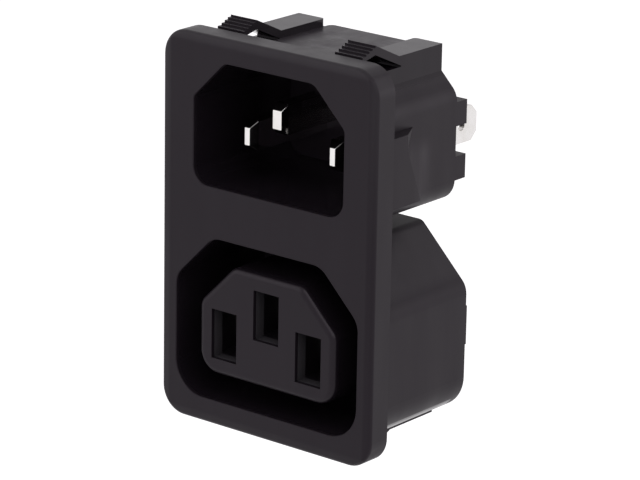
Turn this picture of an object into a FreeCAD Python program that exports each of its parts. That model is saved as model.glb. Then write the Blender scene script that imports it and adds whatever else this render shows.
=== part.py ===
import FreeCAD, Part
import math
import os

# Mains inlet and outlet combined in one snap-in panel module, in millimetres.
# X runs to the right seen from the front, Y runs back through the panel and Z runs up.
# The origin is at the centre of the panel seat, which is the back of the flange.

# Flange: its edge covers the panel cut-out by a lip at the sides and at the ends.
flange_thickness = 3.5
flange_side_lip = 1.25
flange_end_lip = 1.04
flange_corner_radius = 3.6
flange_front_rounding = 0.5
opening_edge_rounding = 0.1

# How much a 45 degree corner cut grows for each millimetre that its outline grows.
corner_growth = 2 - math.sqrt(2)

# Contacts, common to the inlet and the outlet.
contact_spacing = 14.0
earth_offset = 4.0
row_drop = 2.05

# Inlet recess, the upper opening. Depths of openings are from the flange's front.
inlet_centre_z = 14.41
inlet_width = 24.6
inlet_height = 16.6
inlet_chamfer = 5.05
inlet_top_radius = 1.7
inlet_side_radius = 1.0
inlet_bottom_radius = 2.4
inlet_depth = 19.4
inlet_wall = 2.1
inlet_shoulder_wall = 2.3
inlet_base_wall = 1.66
inlet_outer_radius = 3.0
inlet_shoulder_radius = 2.6
inlet_roof = 1.2
inlet_floor_thickness = 3.0
inlet_rim_overrun = 0.85
inlet_platform_inset = 2.6
tongue_overrun = 1.3
tongue_corner_radius = 0.8

# Rear lugs on the sides of the inlet's floor.
lug_height = 3.2
lug_gap = 4.0
lug_centre_drop = 1.9
lug_overlap = 0.6

# Guide ramps on the sides of the inlet, which fill the cut-out's width.
guide_top_rise = 1.9
guide_height = 9.2
guide_flat = 4.4
guide_top_ramp = 3.25
guide_ramp = 2.0
guide_waist_drop = 2.5
guide_waist_lean = 0.2
guide_lean = 2.9

# Snap arms, two on top and two below.
arm_width = 4.4
arm_valley = 7.9
arm_valley_depth = 1.12
arm_crest = 3.05
arm_crest_rise = 2.24
arm_crest_depth = 1.2
arm_tip = 0.5
arm_tip_thickness = 0.7
arm_slot_end = 8.3
arm_slot_depth = 1.45
tooth_count = 4
tooth_run = 0.6
tooth_rise = 0.26
top_pad_height = 1.04
bottom_pad_height = 0.79
pad_rear_radius = 0.5

# Outlet core, the lower tongue with the three contact slots.
outlet_centre_z = -11.51
slot_width = 4.2
slot_height = 6.7
core_margin = 2.2
core_chamfer = 5.55
core_shoulder_radius = 1.8
core_bottom_radius = 3.0
core_setback = 0.2
core_front_rounding = 0.9
core_front_wall = 0.55
core_wall = 1.0

# Groove round the core and the shroud round the groove.
groove_side_width = 3.75
groove_top_width = 3.35
groove_bottom_width = 3.6
groove_chamfer = 6.15
groove_shoulder_radius = 3.0
groove_bottom_radius = 4.5
groove_depth = 17.9
groove_floor_thickness = 2.0
shroud_wall = 1.15
shroud_roof = 1.44
shroud_base_wall = 1.27
shroud_chamfer = 7.49
shroud_shoulder_radius = 2.6
shroud_roof_radius = 1.3
shroud_outer_radius = 4.9
shroud_rim_overrun = 1.2

# Contact carrier, pushed into the core from behind.
fit_clearance = 0.1
entry_depth = 1.6
chamber_step = 0.5
carrier_plate_thickness = 1.7
rib_height = 5.3
rib_width = 2.0
rib_length = 1.4
rib_drop = 1.2

# Inlet pins and their rear tabs.
pin_thickness = 2.0
pin_height = 4.0
pin_tip_taper = 1.0
pin_edge_radius = 0.1
live_tip_thickness = 0.8
live_tip_height = 2.3
earth_tip_thickness = 1.4
earth_tip_height = 2.45
tip_edge_radius = 0.1
live_pin_depth = 4.4
earth_pin_depth = 1.9
tab_width = 4.8
tab_thickness = 0.8
tab_corner = 1.1
tab_hole_diameter = 1.4
tab_hole_setback = 3.3
inlet_tab_length = 10.8
inlet_tab_drop = 0.95

# Outlet contacts, each a strip folded double at its tab and opened into two leaves.
leaf_height = 4.4
leaf_pinch = 0.3
mouth_depth = 7.2
mouth_length = 2.2
mouth_width = 4.0
leaf_length = 5.1
leaf_root_length = 3.5
leaf_fork_length = 2.0
leaf_bend_radius = 0.5
outlet_tab_length = 7.9

# Planes along Y that several pieces share.
front_y = -flange_thickness
inlet_floor_y = front_y + inlet_depth
inlet_rim_y = inlet_floor_y + inlet_rim_overrun
inlet_rear_y = inlet_floor_y + inlet_floor_thickness
groove_floor_y = front_y + groove_depth
carrier_seat_y = groove_floor_y + groove_floor_thickness
shroud_rim_y = carrier_seat_y + shroud_rim_overrun
core_face_y = front_y + core_setback
carrier_front_y = core_face_y + core_front_wall
carrier_rear_y = carrier_seat_y + carrier_plate_thickness
arm_rear_y = min(inlet_rim_y, shroud_rim_y)

# Heights and half-widths that several pieces share.
inlet_top_z = inlet_centre_z + inlet_height / 2
inlet_bottom_z = inlet_centre_z - inlet_height / 2
inlet_row_z = inlet_centre_z - row_drop
platform_z = inlet_top_z + inlet_roof
outlet_row_z = outlet_centre_z - row_drop
core_half = contact_spacing / 2 + slot_width / 2 + core_margin
core_top_z = outlet_row_z + earth_offset + slot_height / 2 + core_margin
core_bottom_z = outlet_row_z - slot_height / 2 - core_margin
groove_half = core_half + groove_side_width
groove_top_z = core_top_z + groove_top_width
groove_bottom_z = core_bottom_z - groove_bottom_width
shroud_half = groove_half + shroud_wall
shroud_top_z = groove_top_z + shroud_roof
shroud_bottom_z = groove_bottom_z - shroud_base_wall
inlet_body_half = inlet_width / 2 + inlet_wall
platform_half = inlet_body_half - inlet_platform_inset
top_pad_z = platform_z + top_pad_height
bottom_pad_z = shroud_bottom_z - bottom_pad_height
chamber_half = slot_width / 2 + chamber_step

# Each contact's name, its place across X and its rise over the line and neutral row.
contact_places = [
    ("line", contact_spacing / 2, 0.0),
    ("neutral", -contact_spacing / 2, 0.0),
    ("earth", 0.0, earth_offset),
]


def front_point(x, z, y):
    return FreeCAD.Vector(x, y, z)


def side_point(y, z, x):
    return FreeCAD.Vector(x, y, z)


def plan_point(x, y, z):
    return FreeCAD.Vector(x, y, z)


def unit(a, b):
    length = math.hypot(b[0] - a[0], b[1] - a[1])
    return ((b[0] - a[0]) / length, (b[1] - a[1]) / length)


def outline(corners, place, level):
    """Closed wire through (u, v, radius) corners, each rounded by an arc of its radius."""
    spans = []
    for i, (u, v, radius) in enumerate(corners):
        back = unit((u, v), corners[i - 1])
        ahead = unit((u, v), corners[(i + 1) % len(corners)])
        if radius <= 0:
            spans.append([(u, v)])
            continue
        half = math.acos(back[0] * ahead[0] + back[1] * ahead[1]) / 2
        reach = radius / math.tan(half)
        middle = unit((0, 0), (back[0] + ahead[0], back[1] + ahead[1]))
        sag = radius / math.sin(half) - radius
        spans.append([
            (u + back[0] * reach, v + back[1] * reach),
            (u + middle[0] * sag, v + middle[1] * sag),
            (u + ahead[0] * reach, v + ahead[1] * reach),
        ])
    edges = []
    for i, span in enumerate(spans):
        points = [place(p[0], p[1], level) for p in span]
        if len(points) == 3:
            edges.append(Part.Arc(*points).toShape())
        start = spans[(i + 1) % len(spans)][0]
        edges.append(Part.makeLine(points[-1], place(start[0], start[1], level)))
    return Part.Wire(edges)


def front_prism(corners, y_from, y_to):
    """A front view outline carried back along Y."""
    face = Part.Face(outline(corners, front_point, y_from))
    return face.extrude(FreeCAD.Vector(0, y_to - y_from, 0))


def side_prism(corners, x_from, x_to):
    """A side view outline carried across along X."""
    face = Part.Face(outline(corners, side_point, x_from))
    return face.extrude(FreeCAD.Vector(x_to - x_from, 0, 0))


def plan_prism(corners, z_from, z_to):
    """A plan view outline carried up along Z."""
    face = Part.Face(outline(corners, plan_point, z_from))
    return face.extrude(FreeCAD.Vector(0, 0, z_to - z_from))


def block(x_from, x_to, y_from, y_to, z_from, z_to):
    corner = FreeCAD.Vector(x_from, y_from, z_from)
    return Part.makeBox(x_to - x_from, y_to - y_from, z_to - z_from, corner)


def mirrored(right_half):
    """The corners of the right half followed by their mirror images on the left."""
    return right_half + [(-x, z, radius) for x, z, radius in reversed(right_half)]


def d_shape(half, bottom, top, chamfer, shoulder_radii, bottom_radius):
    """Connector outline with its two upper corners cut off at 45 degrees."""
    return mirrored([
        (half, bottom, bottom_radius),
        (half, top - chamfer, shoulder_radii[0]),
        (half - chamfer, top, shoulder_radii[1]),
    ])


def inlet_shape(grow=0.0):
    return d_shape(
        inlet_width / 2 + grow,
        inlet_bottom_z - grow,
        inlet_top_z + grow,
        inlet_chamfer + grow * corner_growth,
        (inlet_side_radius + grow, inlet_top_radius + grow),
        inlet_bottom_radius + grow,
    )


def groove_shape(grow=0.0):
    return d_shape(
        groove_half + grow,
        groove_bottom_z - grow,
        groove_top_z + grow,
        groove_chamfer + grow * corner_growth,
        (groove_shoulder_radius + grow, groove_shoulder_radius + grow),
        groove_bottom_radius + grow,
    )


def core_shape(grow=0.0):
    return d_shape(
        core_half + grow,
        core_bottom_z - grow,
        core_top_z + grow,
        core_chamfer + grow * corner_growth,
        (core_shoulder_radius + grow, core_shoulder_radius + grow),
        core_bottom_radius + grow,
    )


def rounded_front(solid, radius, y):
    """The solid with every edge of its front face at y rounded over."""
    edges = [e for e in solid.Edges if all(abs(v.Y - y) < 1e-6 for v in e.Vertexes)]
    return solid.makeFillet(radius, edges)


def make_flange():
    """Front plate with both openings through it and softened front edges."""
    half = shroud_half + flange_side_lip
    half_height = max(top_pad_z, -bottom_pad_z) + flange_end_lip
    corners = mirrored([
        (half, -half_height, flange_corner_radius),
        (half, half_height, flange_corner_radius),
    ])
    plate = rounded_front_plate(corners)
    for shape in (inlet_shape, groove_shape):
        opening = front_prism(shape(), front_y, 0)
        lead = Part.makeLoft(
            [
                outline(shape(opening_edge_rounding), front_point, front_y),
                outline(shape(), front_point, front_y + opening_edge_rounding),
            ],
            True,
        )
        plate = plate.cut(opening).cut(lead)
    return plate


def rounded_front_plate(corners):
    plate = front_prism(corners, front_y, 0)
    return rounded_front(plate, flange_front_rounding, front_y)


def make_inlet_cup():
    """Recessed cup with a flat platform on top, a thick floor and rear lugs."""
    shoulder_z = inlet_top_z - inlet_chamfer - inlet_wall + inlet_shoulder_wall * math.sqrt(2)
    body = mirrored([
        (inlet_body_half, inlet_bottom_z - inlet_base_wall, inlet_outer_radius),
        (inlet_body_half, shoulder_z, inlet_shoulder_radius),
        (platform_half, shoulder_z + inlet_platform_inset, 0.0),
        (platform_half, platform_z, 0.0),
    ])
    cup = front_prism(body, 0, inlet_rim_y)
    cup = cup.cut(front_prism(inlet_shape(), 0, inlet_rim_y))
    cup = cup.fuse(front_prism(inlet_shape(), inlet_floor_y, inlet_rear_y))
    tongue_half = platform_half - arm_width
    tongue = plan_prism(
        [
            (-tongue_half, inlet_floor_y, 0.0),
            (tongue_half, inlet_floor_y, 0.0),
            (tongue_half, inlet_rim_y + tongue_overrun, tongue_corner_radius),
            (-tongue_half, inlet_rim_y + tongue_overrun, tongue_corner_radius),
        ],
        inlet_top_z, platform_z,
    )
    cup = cup.fuse(tongue)
    lug_centre = inlet_centre_z - lug_centre_drop
    for side in (-1, 1):
        inner = side * (inlet_body_half - inlet_wall - lug_overlap)
        outer = side * inlet_body_half
        for step in (-1, 1):
            near = lug_centre + step * lug_gap / 2
            far = near + step * lug_height
            lug = block(
                min(inner, outer), max(inner, outer),
                inlet_floor_y, inlet_rear_y,
                min(near, far), max(near, far),
            )
            cup = cup.fuse(lug)
    return cup


def make_guide(side):
    """Pad that fills the cut-out's width, with a steep rear ramp that is drawn out at its top."""
    top = inlet_centre_z + guide_top_rise
    root = inlet_body_half - inlet_wall / 2
    sections = []
    for z, lean, ramp in (
        (top, 0.0, guide_top_ramp),
        (top - guide_waist_drop, guide_waist_lean, guide_ramp),
        (top - guide_height, guide_lean, guide_ramp),
    ):
        end = guide_flat + lean
        corners = [
            (side * root, 0.0, 0.0),
            (side * shroud_half, 0.0, 0.0),
            (side * shroud_half, end, 0.0),
            (side * inlet_body_half, end + ramp, 0.0),
            (side * root, end + ramp, 0.0),
        ]
        sections.append(outline(corners, plan_point, z))
    return Part.makeLoft(sections, True, True)


def arm_slot(side, up, pad):
    """The gap under a snap arm, sunk a little into the body."""
    outer = side * platform_half
    inner = outer - side * arm_width
    floor = up * (pad - arm_slot_depth)
    roof = up * (pad + arm_crest_rise)
    return block(
        min(inner, outer), max(inner, outer), 0, arm_slot_end, min(floor, roof), max(floor, roof)
    )


def make_arm(side, up, pad, inner_face):
    """Snap arm with a toothed nose: a pad rooted in the wall that springs forward and outward."""
    crest = arm_crest_rise
    slope = (crest - arm_crest_depth + arm_valley_depth) / (arm_valley - arm_crest)

    def underside(y):
        return (arm_valley - y) * slope - arm_valley_depth

    root = (inner_face - pad - arm_slot_depth) / 2
    profile = [
        (arm_rear_y, root),
        (arm_rear_y, 0.0),
        (arm_valley, 0.0),
        (arm_crest, crest),
    ]
    for i in range(tooth_count):
        y = arm_crest - i * tooth_run
        z = crest - (i + 1) * tooth_rise
        ahead = y - tooth_run if i + 1 < tooth_count else arm_tip
        profile += [(y, z), (ahead, z)]
    profile += [
        (arm_tip, crest - tooth_count * tooth_rise - arm_tip_thickness),
        (arm_crest, underside(arm_crest)),
        (arm_slot_end, underside(arm_slot_end)),
        (arm_slot_end, root),
    ]
    corners = [(y, up * (pad + z), 0.0) for y, z in profile]
    outer = side * platform_half
    inner = outer - side * arm_width
    arm = side_prism(corners, inner, outer)
    rear_corner = [
        e for e in arm.Edges
        if all(abs(v.Y - arm_rear_y) < 1e-6 and abs(v.X - inner) < 1e-6 for v in e.Vertexes)
    ]
    return arm.makeFillet(pad_rear_radius, rear_corner)


def make_shroud():
    """Outlet's outer wall with the floor of its groove and the hollow core."""
    wall = d_shape(
        shroud_half, shroud_bottom_z, shroud_top_z, shroud_chamfer,
        (shroud_shoulder_radius, shroud_roof_radius),
        shroud_outer_radius,
    )
    shroud = front_prism(wall, 0, shroud_rim_y)
    shroud = shroud.cut(front_prism(groove_shape(), 0, groove_floor_y))
    shroud = shroud.cut(front_prism(groove_shape(), carrier_seat_y, shroud_rim_y))
    core = rounded_front(
        front_prism(core_shape(), core_face_y, carrier_seat_y), core_front_rounding, core_face_y
    )
    shroud = shroud.fuse(core)
    hollow = front_prism(core_shape(-core_wall), carrier_front_y, carrier_seat_y)
    shroud = shroud.cut(hollow)
    for _, x, rise in contact_places:
        shroud = shroud.cut(slot_block(x, outlet_row_z + rise, core_face_y, carrier_front_y))
    return shroud


def slot_block(x, z, y_from, y_to, step=0.0):
    """The space of a contact slot, or with a step the wider chamber behind it."""
    half = slot_width / 2 + step
    return block(x - half, x + half, y_from, y_to, z - slot_height / 2, z + slot_height / 2)


def make_housing():
    """The one-piece moulding: flange, inlet cup, outlet shroud, guides and snap arms."""
    housing = make_flange().fuse([make_inlet_cup(), make_shroud()])
    details = []
    for side in (-1, 1):
        details.append(make_guide(side))
        for up, pad, inner_face in (
            (1, top_pad_z, inlet_top_z),
            (-1, -bottom_pad_z, -groove_bottom_z),
        ):
            housing = housing.cut(arm_slot(side, up, pad))
            details.append(make_arm(side, up, pad, inner_face))
    housing = housing.fuse(details)
    for _, x, rise in contact_places:
        housing = housing.cut(pin_blade(x, inlet_row_z + rise, inlet_floor_y, inlet_rear_y))
    return housing.removeSplitter()


def pin_section(x, z, width, height, radius):
    """Front view of a pin: an oblong with rounded corners."""
    corners = mirrored([(width / 2, z - height / 2, radius), (width / 2, z + height / 2, radius)])
    return [(x + u, v, r) for u, v, r in corners]


def pin_blade(x, z, y_from, y_to):
    return front_prism(pin_section(x, z, pin_thickness, pin_height, pin_edge_radius), y_from, y_to)


def make_tab(x_from, z, y_from, y_to):
    """Flat push-on tab with its rear corners cut off and a detent hole."""
    corners = [
        (y_from, z - tab_width / 2, 0.0),
        (y_to - tab_corner, z - tab_width / 2, 0.0),
        (y_to, z - tab_width / 2 + tab_corner, 0.0),
        (y_to, z + tab_width / 2 - tab_corner, 0.0),
        (y_to - tab_corner, z + tab_width / 2, 0.0),
        (y_from, z + tab_width / 2, 0.0),
    ]
    tab = side_prism(corners, x_from, x_from + tab_thickness)
    start = FreeCAD.Vector(x_from, y_to - tab_hole_setback, z)
    hole = Part.makeCylinder(tab_hole_diameter / 2, tab_thickness, start, FreeCAD.Vector(1, 0, 0))
    return tab.cut(hole)


def make_inlet_pin(x, rise, tip_depth, tip_thickness, tip_height):
    """Flat pin with a tapered tip, seated through the inlet's floor, and its rear tab."""
    z = inlet_row_z + rise
    tip_y = front_y + tip_depth
    sections = [
        outline(pin_section(x, z, width, height, radius), front_point, y)
        for y, width, height, radius in (
            (tip_y, tip_thickness, tip_height, tip_edge_radius),
            (tip_y + pin_tip_taper, pin_thickness, pin_height, pin_edge_radius),
        )
    ]
    tip = Part.makeLoft(sections, True, True)
    blade = pin_blade(x, z, tip_y + pin_tip_taper, inlet_rear_y)
    # The tab is flush with the outer face of a side pin and central on the earth pin.
    across = (x > 0) - (x < 0)
    tab_centre = x + across * (pin_thickness - tab_thickness) / 2
    tab_z = z - inlet_tab_drop * abs(across)
    tab = make_tab(
        tab_centre - tab_thickness / 2, tab_z, inlet_rear_y, inlet_rear_y + inlet_tab_length
    )
    return tip.fuse([blade, tab]).removeSplitter()


def make_carrier():
    """Contact carrier: a block that fills the core and a rear plate in the shroud's rim."""
    body = front_prism(core_shape(-core_wall - fit_clearance), carrier_front_y, carrier_seat_y)
    plate = front_prism(groove_shape(-fit_clearance), carrier_seat_y, carrier_rear_y)
    carrier = body.fuse(plate)
    rib_z = outlet_centre_z - rib_drop
    for side in (-1, 1):
        outer = side * (groove_half - fit_clearance)
        inner = outer - side * rib_width
        carrier = carrier.fuse(block(
            min(inner, outer), max(inner, outer),
            carrier_seat_y, carrier_rear_y + rib_length,
            rib_z - rib_height / 2, rib_z + rib_height / 2,
        ))
    entry_y = carrier_front_y + entry_depth
    for _, x, rise in contact_places:
        z = outlet_row_z + rise
        carrier = carrier.cut(slot_block(x, z, carrier_front_y, entry_y))
        carrier = carrier.cut(slot_block(x, z, entry_y, carrier_rear_y, chamber_step))
    return carrier.removeSplitter()


def make_outlet_contact(x, rise):
    """Strip folded double at the tab, forked to the chamber's walls and closing on a pin."""
    z = outlet_row_z + rise
    sheet = tab_thickness / 2
    mouth_y = front_y + mouth_depth
    throat_y = mouth_y + mouth_length
    root_y = throat_y + leaf_length
    fork_y = root_y + leaf_root_length
    split_y = fork_y + leaf_fork_length
    tab_end_y = carrier_rear_y + outlet_tab_length
    throat = (pin_thickness - leaf_pinch) / 2
    inner = [
        (0.0, tab_end_y),
        (0.0, split_y),
        (chamber_half - sheet, fork_y),
        (chamber_half - sheet, root_y),
        (throat, throat_y),
        (mouth_width / 2 - sheet, mouth_y),
    ]
    outer = [
        (sheet, tab_end_y),
        (sheet, split_y + sheet),
        (chamber_half, fork_y + sheet / 2),
        (chamber_half, root_y - sheet / 4),
        (throat + sheet, throat_y),
        (mouth_width / 2, mouth_y),
    ]
    bends = [0.0] + [leaf_bend_radius] * (len(inner) - 2) + [0.0]
    half = [(u, v, r) for (u, v), r in zip(inner, bends)]
    half += [(u, v, r) for (u, v), r in zip(reversed(outer), reversed(bends))]
    strip = None
    for side in (-1, 1):
        leaf = [(x + side * u, v, r) for u, v, r in half]
        solid = plan_prism(leaf, z - slot_height / 2, z + slot_height / 2)
        strip = solid if strip is None else strip.fuse(solid)
    # The leaves are narrower than the root that seats in the chamber.
    for up in (-1, 1):
        near = z + up * leaf_height / 2
        far = z + up * slot_height
        strip = strip.cut(block(
            x - slot_width, x + slot_width, mouth_y - mouth_length, root_y,
            min(near, far), max(near, far),
        ))
    rear = block(
        x - slot_width, x + slot_width, split_y, tab_end_y + tab_corner,
        z - slot_height, z + slot_height,
    )
    tab = make_tab(x - tab_thickness / 2, z, split_y, tab_end_y)
    return strip.cut(rear).fuse(tab).removeSplitter()


pieces = {"housing": make_housing(), "outlet_contact_carrier": make_carrier()}
for name, x, rise in contact_places:
    tip = (live_pin_depth, live_tip_thickness, live_tip_height)
    if name == "earth":
        tip = (earth_pin_depth, earth_tip_thickness, earth_tip_height)
    pieces["inlet_" + name + "_pin"] = make_inlet_pin(x, rise, *tip)
    pieces["outlet_" + name + "_contact"] = make_outlet_contact(x, rise)

os.makedirs("parts", exist_ok=True)
for name, shape in pieces.items():
    shape.exportStep(os.path.join("parts", name + ".step"))
    print(name, "solids", len(shape.Solids), "valid", shape.isValid(), round(shape.Volume, 2))
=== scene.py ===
import bpy
from mathutils import Matrix, Vector


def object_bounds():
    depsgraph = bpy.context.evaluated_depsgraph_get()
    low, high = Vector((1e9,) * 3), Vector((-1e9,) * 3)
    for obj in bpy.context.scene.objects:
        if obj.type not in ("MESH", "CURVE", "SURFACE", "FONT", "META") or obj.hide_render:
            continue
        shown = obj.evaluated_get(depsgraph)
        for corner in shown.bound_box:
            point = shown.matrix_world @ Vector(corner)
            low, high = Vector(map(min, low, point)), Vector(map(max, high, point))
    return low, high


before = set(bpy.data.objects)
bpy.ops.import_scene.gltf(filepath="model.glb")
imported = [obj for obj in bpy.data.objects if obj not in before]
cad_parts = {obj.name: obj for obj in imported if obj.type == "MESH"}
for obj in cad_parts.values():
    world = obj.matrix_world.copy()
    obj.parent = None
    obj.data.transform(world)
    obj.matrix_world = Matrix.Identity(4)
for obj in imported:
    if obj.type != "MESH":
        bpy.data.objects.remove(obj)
cad_low, cad_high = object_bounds()

# Housing. One injection moulding of black flame-retardant thermoplastic: the flange, the inlet cup, the
# outlet shroud and the toothed snap arms. The mould is eroded to a fine matte grain on the outside, and
# polished at the arms' sliders and at the cores that form the recess and the groove.
mm = 0.001
per_mm = 1000.0
housing_black = (0.0072, 0.0053, 0.0075, 1.0)
housing_sheen = (0.0092, 0.007, 0.0095, 1.0)
# Painted light: recess_painted_light is a paler tone painted deep inside the recess and the groove, standing
# in for light that reaches their floors.
recess_painted_light = (0.03, 0.024, 0.031, 1.0)
platform_dark = (0.0085, 0.0064, 0.0088, 1.0)
platform_light = (0.017, 0.014, 0.0175, 1.0)
scuff_light = (0.04, 0.036, 0.041, 1.0)
# Painted sheen: sheen_streak_paint is a paler colour painted in streaks on the inlet's side behind the
# guide.
sheen_streak_paint = (0.034, 0.03, 0.0345, 1.0)
# Painted highlight: edge_highlight_paint lightens the flange's front face near its outer edges, more towards
# the top.
edge_highlight_paint = (0.0165, 0.0145, 0.017, 1.0)
plastic_shine = (1.0, 0.9, 1.0, 1.0)
housing_ior = 1.27

front_roughness = 0.5
rim_roughness = 0.4
body_roughness = 0.48
flow_change = 0.09
arm_roughness = 0.1
pad_roughness = 0.275
nose_roughness = 0.36
shoulder_roughness = 0.3
fold_roughness = 0.56
roof_roughness = 0.61
platform_roughness = 0.41
platform_change = 0.14
recess_roughness = 0.2

front_y = -3.5 * mm
flange_half_x = 17.45 * mm
flange_half_z = 25.99 * mm
recess_end = 15.9 * mm
platform_z = 23.91 * mm
pad_z = 24.95 * mm
arms_inside = 7.4 * mm
arms_outside = 11.8 * mm

# Each zone of the finish has soft limits: where it begins, and where it is full.
flange_back = (0.03 * mm, -0.03 * mm)
opening_side = (0.1 * mm, 0.0)
opening_front = (front_y + 0.1 * mm, front_y + 0.9 * mm)
opening_rear = (recess_end + 0.5 * mm, recess_end + 0.2 * mm)
deep_front = (8.0 * mm, 15.5 * mm)
rim_side = (0.3 * mm, 0.05 * mm)
arms_bottom = (20.0 * mm, 21.5 * mm)
pad_front = (7.6 * mm, 7.8 * mm)
pad_face = (pad_z - 0.04 * mm, pad_z - 0.02 * mm)
nose_rear = (3.25 * mm, 3.1 * mm)
nose_bottom = (24.0 * mm, 24.1 * mm)
nose_outside = (arms_outside - 0.01 * mm, arms_outside - 0.03 * mm)
nose_inside = (arms_inside + 0.01 * mm, arms_inside + 0.03 * mm)
platform_side = (arms_inside + 0.05 * mm, arms_inside)
platform_bottom = (platform_z - 0.06 * mm, platform_z - 0.03 * mm)
platform_top = (platform_z + 0.06 * mm, platform_z + 0.03 * mm)
roof_bottom = (0.0, 0.5 * mm)
roof_top = (2.0 * mm, 1.5 * mm)
shoulder_bottom = (-5.6 * mm, -4.2 * mm)
shoulder_top = (0.6 * mm, 0.2 * mm)
fold_side = (13.0 * mm, 14.5 * mm)
fold_bottom = (-8.4 * mm, -7.0 * mm)
fold_top = (-5.2 * mm, -6.2 * mm)
# Painted sheen: where the pale streaks on the inlet's side behind the guide begin and where they are full.
streaked_side = (13.4 * mm, 14.3 * mm)
streaked_top = (15.0 * mm, 12.0 * mm)
streaked_bottom = (3.0 * mm, 5.0 * mm)
streaked_front = (5.6 * mm, 7.8 * mm)
streaked_rear = (12.4 * mm, 9.5 * mm)
# Painted highlight: the band along the flange's front edges is within 1.6 mm of the outline, grows from the
# middle height to the top, and lies on the front face only.
edge_highlight_side = (1.6 * mm, 0.5 * mm)
edge_highlight_bottom = (0.0, flange_half_z)
edge_highlight_rear = (front_y + 0.6 * mm, front_y + 0.2 * mm)
crown_side = (0.0, 1.4 * mm)

# The marks: how sharply the noises show, and how deep and strong each relief is.
streak_contrast = (0.35, 0.65)
streak_least = 0.35
blotch_contrast = (0.3, 0.7)
scuff_contrast = (0.52, 0.7)
crown_depth = 0.28 * mm
sink_depth = 0.12 * mm
sink_strength = 0.5
drag_depth = 0.01 * mm
drag_strength = 0.3
grain_depth = 0.01 * mm
polished_grain = 0.08
eroded_grain = 0.5


def add_node(tree, kind, inputs=(), **settings):
    """Adds a shader node; inputs pairs a socket with a value or with another node's output."""
    made = tree.nodes.new("ShaderNode" + kind)
    for key, value in settings.items():
        setattr(made, key, value)
    for socket, value in dict(inputs).items():
        if isinstance(value, bpy.types.NodeSocket):
            tree.links.new(value, made.inputs[socket])
        else:
            made.inputs[socket].default_value = value
    return made


def new_finish(name):
    """An empty material with its Principled surface, ready for nodes."""
    finish = bpy.data.materials.new(name)
    finish.use_nodes = True
    return finish, finish.node_tree, finish.node_tree.nodes["Principled BSDF"]


def finish_node(name, finish):
    """Gives a CAD node its finish in place of the plain one that it came with."""
    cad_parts[name].data.materials.clear()
    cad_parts[name].data.materials.append(finish)


def place_on(tree):
    """The point's own place on the part, and its X, Y and Z."""
    place = add_node(tree, "TexCoord").outputs["Object"]
    return place, add_node(tree, "SeparateXYZ", {"Vector": place}).outputs


def combine(tree, kind, first, *others):
    """One number worked out from several, from the first onwards."""
    for other in others:
        first = add_node(tree, "Math", {0: first, 1: other}, operation=kind).outputs["Value"]
    return first


def overlap(tree, *shares):
    """The share of the place where several zones meet: their product."""
    return combine(tree, "MULTIPLY", *shares)


def rest_of(tree, share):
    """The share that a zone leaves: 1 less its own."""
    return combine(tree, "SUBTRACT", 1.0, share)


def zone(tree, value, limits):
    """Eases from 0 where the value is at the first limit to 1 where it is at the second."""
    begins, full = limits
    return add_node(tree, "MapRange", {
        "Value": value, "From Min": begins, "From Max": full,
    }, interpolation_type="SMOOTHSTEP").outputs["Result"]


def between(tree, share, low, high):
    """The number that lies a share of the way from low to high."""
    return add_node(tree, "MapRange", {"Value": share, "To Min": low, "To Max": high}).outputs["Result"]


def blend(tree, share, first, second):
    """Goes from the first number to the second as the share goes from 0 to 1."""
    return add_node(tree, "Mix", {"Factor": share, "A": first, "B": second}).outputs["Result"]


def tint(tree, share, first, second):
    """Goes from the first colour to the second as the share goes from 0 to 1."""
    mixed = add_node(tree, "Mix", {"Factor": share, "A": first, "B": second}, data_type="RGBA")
    return mixed.outputs["Result"]


def noise(tree, place, scale, stretch=(1.0, 1.0, 1.0), detail=3.0):
    """Even noise with about scale lumps to the millimetre, drawn out where stretch is below 1."""
    drawn = add_node(tree, "Mapping", {"Vector": place, "Scale": stretch})
    return add_node(tree, "TexNoise", {
        "Vector": drawn.outputs["Vector"], "Scale": scale * per_mm, "Detail": detail, "Roughness": 0.55,
    }).outputs["Fac"]


def relief(tree, height, depth, strength, under=None):
    """Bumps of a depth in metres from a height of 0 to 1, on top of the relief under it."""
    inputs = {"Height": height, "Distance": depth, "Strength": strength}
    if under is not None:
        inputs["Normal"] = under
    return add_node(tree, "Bump", inputs).outputs["Normal"]


def beyond_outline(tree, away, z, half, low, high, diagonal):
    """How far a point lies outside an opening's outline, whose upper corners are cut off at 45 degrees."""
    sides = combine(tree, "SUBTRACT", away, half)
    below = combine(tree, "SUBTRACT", low, z)
    above = combine(tree, "SUBTRACT", z, high)
    corner = combine(tree, "SUBTRACT", combine(tree, "ADD", away, z), diagonal)
    return combine(tree, "MAXIMUM", sides, below, above, corner)


housing_finish, tree, surface = new_finish("housing_plastic_grain")
place, parts = place_on(tree)
y = parts["Y"]
z = parts["Z"]
away = combine(tree, "ABSOLUTE", parts["X"], 0.0)
flange = zone(tree, y, flange_back)
body = rest_of(tree, flange)
recess = beyond_outline(
    tree, away, z, half=12.4 * mm, low=6.0 * mm, high=22.8 * mm, diagonal=31.5 * mm
)
groove = beyond_outline(
    tree, away, z, half=15.2 * mm, low=-22.9 * mm, high=-0.5 * mm, diagonal=8.9 * mm
)
opening = overlap(
    tree, zone(tree, combine(tree, "MINIMUM", recess, groove), opening_side),
    zone(tree, y, opening_front), zone(tree, y, opening_rear),
)
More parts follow.
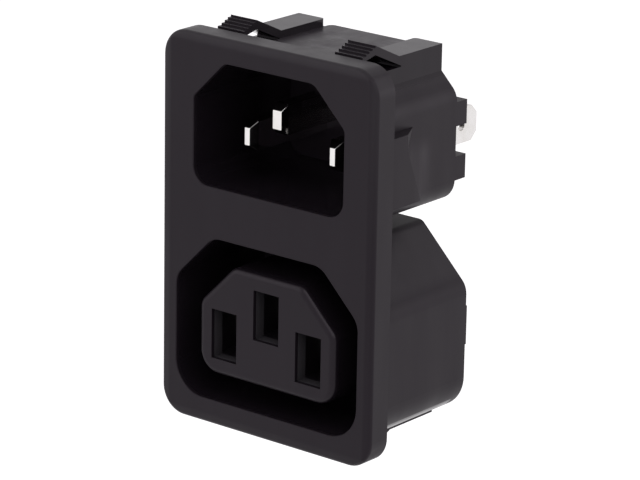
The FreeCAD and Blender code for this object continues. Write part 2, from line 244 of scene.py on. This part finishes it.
# Painted light: the share deep inside the recess and the groove that is painted paler.
deep = overlap(tree, opening, zone(tree, y, deep_front))
edge = combine(
    tree, "MINIMUM", combine(tree, "SUBTRACT", flange_half_x, away),
    combine(tree, "SUBTRACT", flange_half_z, combine(tree, "ABSOLUTE", z, 0.0)),
)
rim = overlap(tree, flange, zone(tree, edge, rim_side))
grained = overlap(tree, flange, rest_of(tree, opening), rest_of(tree, rim))
at_arms = overlap(tree, body, zone(tree, z, arms_bottom))
pad = overlap(tree, at_arms, zone(tree, y, pad_front), zone(tree, z, pad_face))
nose = overlap(
    tree, at_arms, zone(tree, y, nose_rear), zone(tree, z, nose_bottom),
    zone(tree, away, nose_outside), zone(tree, away, nose_inside),
)
platform = overlap(
    tree, at_arms, zone(tree, away, platform_side),
    zone(tree, z, platform_bottom), zone(tree, z, platform_top),
)
shroud_roof = overlap(tree, body, zone(tree, z, roof_bottom), zone(tree, z, roof_top))
shoulder = overlap(tree, body, zone(tree, z, shoulder_bottom), zone(tree, z, shoulder_top))
fold = overlap(
    tree, body, zone(tree, away, fold_side), zone(tree, z, fold_bottom), zone(tree, z, fold_top)
)
# Painted sheen: the patch of the inlet's side behind the guide that gets pale streaks.
painted_sheen_behind_guide = overlap(
    tree, body, zone(tree, away, streaked_side), zone(tree, z, streaked_top),
    zone(tree, z, streaked_bottom), zone(tree, y, streaked_front), zone(tree, y, streaked_rear),
)
# Painted highlight: the share of the flange's front face near its outer edges that is painted paler, more
# towards the top.
painted_edge_highlight = overlap(
    tree, zone(tree, edge, edge_highlight_side), zone(tree, z, edge_highlight_bottom), zone(tree, y, edge_highlight_rear)
)

drift = noise(tree, place, scale=0.12, detail=4.0)
flow = noise(tree, place, scale=0.3, stretch=(1.0, 1.0, 0.12))
blotch = noise(tree, place, scale=0.5, stretch=(1.0, 0.5, 1.0), detail=6.0)
streaks = noise(tree, place, scale=0.6, stretch=(1.0, 1.0, 0.1), detail=2.0)
scuffs = noise(tree, place, scale=0.8, stretch=(0.5, 1.0, 1.0), detail=5.0)
sink = noise(tree, place, scale=0.22, stretch=(1.0, 1.0, 0.3), detail=1.0)
drag = noise(tree, place, scale=1.1, stretch=(1.0, 0.09, 1.0), detail=2.0)
grain = noise(tree, place, scale=7.0)

roughness = blend(tree, flange, body_roughness, blend(tree, rim, front_roughness, rim_roughness))
roughness = blend(tree, at_arms, roughness, arm_roughness)
roughness = combine(tree, "ADD", roughness, between(tree, flow, -flow_change, flow_change))
roughness = blend(tree, pad, roughness, pad_roughness)
roughness = blend(tree, nose, roughness, nose_roughness)
roughness = blend(tree, shoulder, roughness, shoulder_roughness)
roughness = blend(tree, fold, roughness, fold_roughness)
roughness = blend(tree, shroud_roof, roughness, roof_roughness)
blotched = between(
    tree, blotch, platform_roughness - platform_change, platform_roughness + platform_change
)
roughness = blend(tree, platform, roughness, blotched)
roughness = blend(tree, opening, roughness, recess_roughness)

streak = between(tree, zone(tree, streaks, streak_contrast), streak_least, 1.0)
scuffed = tint(tree, zone(tree, blotch, blotch_contrast), platform_dark, platform_light)
scuffed = tint(tree, zone(tree, scuffs, scuff_contrast), scuffed, scuff_light)
colour = tint(tree, drift, housing_black, housing_sheen)
# Painted sheen: pale streaks on the inlet's side behind the guide.
colour = tint(tree, overlap(tree, painted_sheen_behind_guide, streak), colour, sheen_streak_paint)
# Painted highlight along the flange's front edges, stronger towards the top.
colour = tint(tree, painted_edge_highlight, colour, edge_highlight_paint)
# Painted light: paler deep inside the recess and the groove.
colour = tint(tree, deep, colour, recess_painted_light)
colour = tint(tree, platform, colour, scuffed)

shape = relief(tree, zone(tree, edge, crown_side), crown_depth, flange)
shape = relief(tree, sink, sink_depth, between(tree, grained, sink_strength, 0.0), shape)
shape = relief(tree, drag, drag_depth, between(tree, grained, drag_strength, 0.0), shape)
shape = relief(tree, grain, grain_depth, between(tree, grained, polished_grain, eroded_grain), shape)
tree.links.new(colour, surface.inputs["Base Color"])
tree.links.new(roughness, surface.inputs["Roughness"])
tree.links.new(shape, surface.inputs["Normal"])
surface.inputs["IOR"].default_value = housing_ior
surface.inputs["Specular Tint"].default_value = plastic_shine
finish_node("housing", housing_finish)

# Contact carrier. A second moulding of the same plastic, pushed into the outlet's core from behind, which it
# fills. Its front collar shows in the three slots and is paler and rougher than the chambers and rear plate.
carrier_collar = (0.03, 0.0275, 0.031, 1.0)
carrier_black = (0.0072, 0.0055, 0.0075, 1.0)
carrier_ior = 1.3
carrier_smoothest = 0.34
carrier_roughest = 0.46
collar_more_rough = 0.15
collar_end = -1.15 * mm
collar_rear = (collar_end + 0.05 * mm, collar_end - 0.02 * mm)
carrier_grain_depth = 0.012 * mm
carrier_grain_strength = 0.4
carrier_finish, tree, surface = new_finish("carrier_plastic_grain")
place, parts = place_on(tree)
collar = zone(tree, parts["Y"], collar_rear)
drift = noise(tree, place, scale=0.2, detail=4.0)
grain = noise(tree, place, scale=6.0)
roughness = combine(
    tree, "ADD", between(tree, drift, carrier_smoothest, carrier_roughest),
    between(tree, collar, 0.0, collar_more_rough),
)
shape = relief(tree, grain, carrier_grain_depth, carrier_grain_strength)
tree.links.new(tint(tree, collar, carrier_black, carrier_collar), surface.inputs["Base Color"])
tree.links.new(roughness, surface.inputs["Roughness"])
tree.links.new(shape, surface.inputs["Normal"])
surface.inputs["IOR"].default_value = carrier_ior
surface.inputs["Specular Tint"].default_value = plastic_shine
finish_node("outlet_contact_carrier", carrier_finish)

# Outlet contacts. Spring strip of copper alloy with a dull nickel plate, folded double at its tab and
# pressed into the carrier's chambers. Rolling marks run along the strip.
contact_nickel = (0.64, 0.62, 0.59, 1.0)
contact_stain = (0.58, 0.55, 0.49, 1.0)
stain_contrast = (0.4, 0.7)
mark_depth = 0.004 * mm


def plated_metal(name, bright, stained, mean_roughness, marks_scale, marks_strength):
    """Plated metal whose roughness varies about its mean.

    Fine marks drawn out along Y vary the roughness by a quarter and give the relief.
    Clouds vary the roughness by a tenth and stain the colour.
    """
    finish, tree, surface = new_finish(name)
    place, parts = place_on(tree)
    marks = noise(tree, place, scale=marks_scale, stretch=(1.0, 0.06, 1.0))
    cloud = noise(tree, place, scale=0.35, detail=4.0)
    roughness = combine(
        tree, "ADD", between(tree, marks, 0.75 * mean_roughness, 1.25 * mean_roughness),
        between(tree, cloud, -0.1 * mean_roughness, 0.1 * mean_roughness),
    )
    colour = tint(tree, zone(tree, cloud, stain_contrast), bright, stained)
    tree.links.new(colour, surface.inputs["Base Color"])
    tree.links.new(roughness, surface.inputs["Roughness"])
    tree.links.new(relief(tree, marks, mark_depth, marks_strength), surface.inputs["Normal"])
    surface.inputs["Metallic"].default_value = 1.0
    return finish, surface, parts["Y"], colour, roughness


contact_finish = plated_metal(
    "contact_dull_nickel", contact_nickel, contact_stain,
    mean_roughness=0.35, marks_scale=6.0, marks_strength=0.15,
)[0]
for contact in ("line", "neutral", "earth"):
    finish_node("outlet_" + contact + "_contact", contact_finish)

# Inlet pins. Solid copper alloy blades with bright nickel plate and tapered tips, pressed through the
# inlet's floor. Each ends in a flat push-on tab with a satin face at the rear.
pin_nickel = (0.64, 0.63, 0.62, 1.0)
pin_stain = (0.6, 0.585, 0.565, 1.0)
# Painted shade: the tapered tips are painted a darker nickel, darkest on the line and neutral pins and less
# dark on the earth pin.
live_tip_painted_shade = (0.1, 0.098, 0.096, 1.0)
earth_tip_painted_shade = (0.26, 0.255, 0.25, 1.0)
live_tip_y = 0.9 * mm
earth_tip_y = -1.6 * mm
taper = 1.0 * mm
tab_roughness = 0.26
tabs_start = 18.9 * mm
tab_front = (tabs_start - 0.2 * mm, tabs_start)
pin_tips = {
    "line": (live_tip_y, live_tip_painted_shade), "neutral": (live_tip_y, live_tip_painted_shade), "earth": (earth_tip_y, earth_tip_painted_shade),
}
for pin, (tip_y, tip_painted_shade) in pin_tips.items():
    pin_finish, surface, y, colour, roughness = plated_metal(
        "pin_bright_nickel_" + pin, pin_nickel, pin_stain,
        mean_roughness=0.07, marks_scale=5.0, marks_strength=0.05,
    )
    tree = pin_finish.node_tree
    tip_front = (tip_y + 0.03 * mm, tip_y + 0.08 * mm)
    tip_rear = (tip_y + taper + 0.1 * mm, tip_y + taper)
    # Painted shade: the share of the pin's tapered tip that is painted darker.
    tapered = overlap(tree, zone(tree, y, tip_front), zone(tree, y, tip_rear))
    tree.links.new(tint(tree, tapered, colour, tip_painted_shade), surface.inputs["Base Color"])
    at_tab = zone(tree, y, tab_front)
    tree.links.new(blend(tree, at_tab, roughness, tab_roughness), surface.inputs["Roughness"])
    finish_node("inlet_" + pin + "_pin", pin_finish)

# Studio. A pale floor well below the part, which is clear from underneath, and white surroundings.
# Three soft lamps stand round the part and face it.
floor_drop = 0.16
floor_half = 3.0
floor_z = cad_low.z - floor_drop
floor_pale = (0.7, 0.7, 0.7, 1.0)
floor_roughness = 0.9
floor_glow = 0.66
room_white = (1.0, 0.982, 1.0, 1.0)
room_light = 0.45


def seen_as_white(tree):
    """1 for what the camera, gloss and glass see, and 0 for the light that falls on the part."""
    rays = add_node(tree, "LightPath").outputs
    return combine(
        tree, "MAXIMUM", rays["Is Camera Ray"], rays["Is Glossy Ray"], rays["Is Transmission Ray"]
    )


floor_mesh = bpy.data.meshes.new("floor")
floor_mesh.from_pydata(
    [(-floor_half, -floor_half, floor_z), (floor_half, -floor_half, floor_z),
     (floor_half, floor_half, floor_z), (-floor_half, floor_half, floor_z)],
    [], [(0, 1, 2, 3)],
)
floor = bpy.data.objects.new("floor", floor_mesh)
bpy.context.scene.collection.objects.link(floor)
floor_finish, tree, surface = new_finish("floor_white")
surface.inputs["Base Color"].default_value = floor_pale
surface.inputs["Roughness"].default_value = floor_roughness
surface.inputs["Specular IOR Level"].default_value = 0.0
surface.inputs["Emission Color"].default_value = room_white
glow = combine(tree, "MULTIPLY", seen_as_white(tree), floor_glow)
tree.links.new(glow, surface.inputs["Emission Strength"])
one_way = add_node(tree, "MixShader", {
    0: add_node(tree, "NewGeometry").outputs["Backfacing"], 1: surface.outputs["BSDF"],
    2: add_node(tree, "BsdfTransparent").outputs["BSDF"],
})
tree.links.new(one_way.outputs["Shader"], tree.nodes["Material Output"].inputs["Surface"])
floor_mesh.materials.append(floor_finish)

world = bpy.data.worlds.new("studio")
bpy.context.scene.world = world
world.use_nodes = True
tree = world.node_tree
room = tree.nodes["Background"]
room.inputs["Color"].default_value = room_white
tree.links.new(between(tree, seen_as_white(tree), room_light, 1.0), room.inputs["Strength"])

# Each lamp's place in metres, its power in watts and its width in metres.
lamps = {
    "key": ((0.7, -0.45, 0.75), 5.5, 1.0),
    "fill": ((-0.6, -0.7, 0.45), 3.2, 0.8),
    "back": ((1.2, 1.5, 0.4), 10.0, 1.5),
}
for name, (lamp_place, power, width) in lamps.items():
    lamp = bpy.data.lights.new(name, "AREA")
    lamp.energy = power
    lamp.size = width
    lamp_object = bpy.data.objects.new(name, lamp)
    lamp_object.location = lamp_place
    lamp_object.rotation_euler = (-Vector(lamp_place)).to_track_quat("-Z", "Y").to_euler()
    bpy.context.scene.collection.objects.link(lamp_object)

# Camera. It stands to the right of the front and above, 45 cm away, with a long lens.
# Its right, up and back directions are the columns of its turn.
camera_place = Vector((0.27339, -0.33093, 0.13534))
camera_right = Vector((0.77421, 0.63267, 0.01748))
camera_up = Vector((-0.20285, 0.22187, 0.95374))
camera_back = Vector((0.59954, -0.74194, 0.30013))
sensor_width_mm = 36.0
lens_mm = 198.8
sees_to = 10.0
camera_data = bpy.data.cameras.new("camera")
camera_data.sensor_width = sensor_width_mm
camera_data.lens = lens_mm
camera_data.clip_end = sees_to
camera = bpy.data.objects.new("camera", camera_data)
axes = Matrix((camera_right, camera_up, camera_back)).transposed().to_4x4()
camera.matrix_world = Matrix.Translation(camera_place) @ axes
bpy.context.scene.collection.objects.link(camera)
bpy.context.scene.camera = camera

bpy.context.scene.view_settings.view_transform = "Standard"
